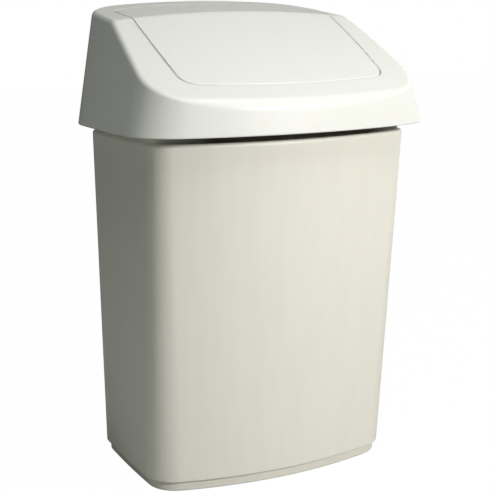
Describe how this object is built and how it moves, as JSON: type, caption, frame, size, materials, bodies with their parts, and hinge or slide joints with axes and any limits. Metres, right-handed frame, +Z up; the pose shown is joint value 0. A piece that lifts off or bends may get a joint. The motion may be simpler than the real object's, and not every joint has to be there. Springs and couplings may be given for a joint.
{
  "type": "swing-top waste bin",
  "caption": "Tapered plastic waste bin with a lift-off sloping hood and a weighted flap that swings inward on two pins.",
  "frame": {"origin": "on the floor, under the middle of the bin's overall width and depth", "axes": "+Z up, the sloping front of the hood faces -Y, +X to the right when facing along +Y"},
  "size_m": [0.34, 0.277, 0.5101],
  "materials": {
    "bucket_plastic": "satin moulded, fine even grain",
    "foot_plastic": "satin moulded",
    "hood_plastic": "satin moulded, fine even grain",
    "flap_plastic": "satin moulded, fine even grain",
    "pin_plastic": "smooth hard plastic",
    "bar_steel": "drawn bar, plain"
  },
  "bodies": {
    "bucket": {"bucket": "bucket_plastic", "foot_ring": "foot_plastic"},
    "hood": {"hood": "hood_plastic", "right_pivot_pin": "pin_plastic", "left_pivot_pin": "pin_plastic"},
    "flap": {"swing_flap": "flap_plastic", "counterweight_bar": "bar_steel"}
  },
  "joints": [
    {"name": "hood_lift", "type": "slide", "parent": "bucket", "child": "hood", "axis": [0, 0, 1], "range_m": [0, 0.12]},
    {"name": "flap_swing", "type": "hinge", "parent": "hood", "child": "flap", "pos_m": [0, 0.03, 0.478], "axis": [1, 0, 0], "range_deg": [0, 70]}
  ]
}
